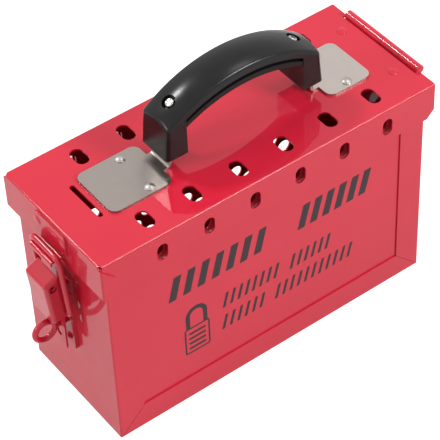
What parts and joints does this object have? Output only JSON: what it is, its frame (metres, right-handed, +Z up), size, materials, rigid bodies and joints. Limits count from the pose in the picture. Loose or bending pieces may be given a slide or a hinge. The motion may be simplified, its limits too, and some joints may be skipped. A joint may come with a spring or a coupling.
{
  "type": "group lockout box",
  "caption": "Portable steel lockout box with a hinged lid, rows of padlock slots, a carrying handle and an over-centre draw latch with a padlock eye.",
  "frame": {"origin": "middle of the body's underside, on the surface the box stands on", "axes": "+X along the box from the latch end to the hinge end, +Y to the rear, +Z up"},
  "size_m": [0.254, 0.0944, 0.196],
  "materials": {
    "body_paint": "gloss red powder coat",
    "panel_paint": "gloss red powder coat",
    "lid_paint": "gloss red powder coat",
    "hinge_paint": "gloss red powder coat",
    "latch_paint": "gloss red powder coat",
    "plate_steel": "satin sheet steel",
    "rivet_steel": "satin",
    "screw_zinc": "zinc plated",
    "grip_plastic": "moulded black, half gloss",
    "insert_plastic": "moulded black, matt"
  },
  "bodies": {
    "body": {"body_shell": "body_paint", "front_panel": "panel_paint", "rear_panel": "panel_paint", "hinge_leaf_body": "hinge_paint", "hinge_pin": "hinge_paint", "hinge_rivets_body": "hinge_paint", "latch_base": "latch_paint", "latch_base_rivets": "latch_paint", "padlock_eye": "latch_paint", "lever_pivot_pin": "latch_paint"},
    "lid": {"lid_shell": "lid_paint", "hinge_leaf_lid": "hinge_paint", "hinge_rivets_lid": "hinge_paint", "handle_grip": "grip_plastic", "handle_insert": "insert_plastic", "handle_bracket_left": "plate_steel", "handle_bracket_right": "plate_steel", "handle_rivets_left": "rivet_steel", "handle_rivets_right": "rivet_steel", "handle_screw_left": "screw_zinc", "handle_screw_right": "screw_zinc", "latch_keeper": "latch_paint", "keeper_rivets": "latch_paint"},
    "latch_lever": {"latch_lever": "latch_paint"},
    "latch_bail": {"latch_bail": "latch_paint"}
  },
  "joints": [
    {"name": "lid_hinge", "type": "hinge", "parent": "body", "child": "lid", "pos_m": [0.1158, 0, 0.14595], "axis": [0, 1, 0], "range_deg": [0, 215]},
    {"name": "latch_lever_pivot", "type": "hinge", "parent": "body", "child": "latch_lever", "pos_m": [-0.124, 0, 0.1055], "axis": [0, 1, 0], "range_deg": [0, 80]},
    {"name": "latch_bail_pivot", "type": "hinge", "parent": "latch_lever", "child": "latch_bail", "pos_m": [-0.1168, 0, 0.0825], "axis": [0, 1, 0], "range_deg": [-240, 0]}
  ],
  "couplings": [
    {"joint": "latch_bail_pivot", "follows": "latch_lever_pivot", "ratio": -3}
  ]
}
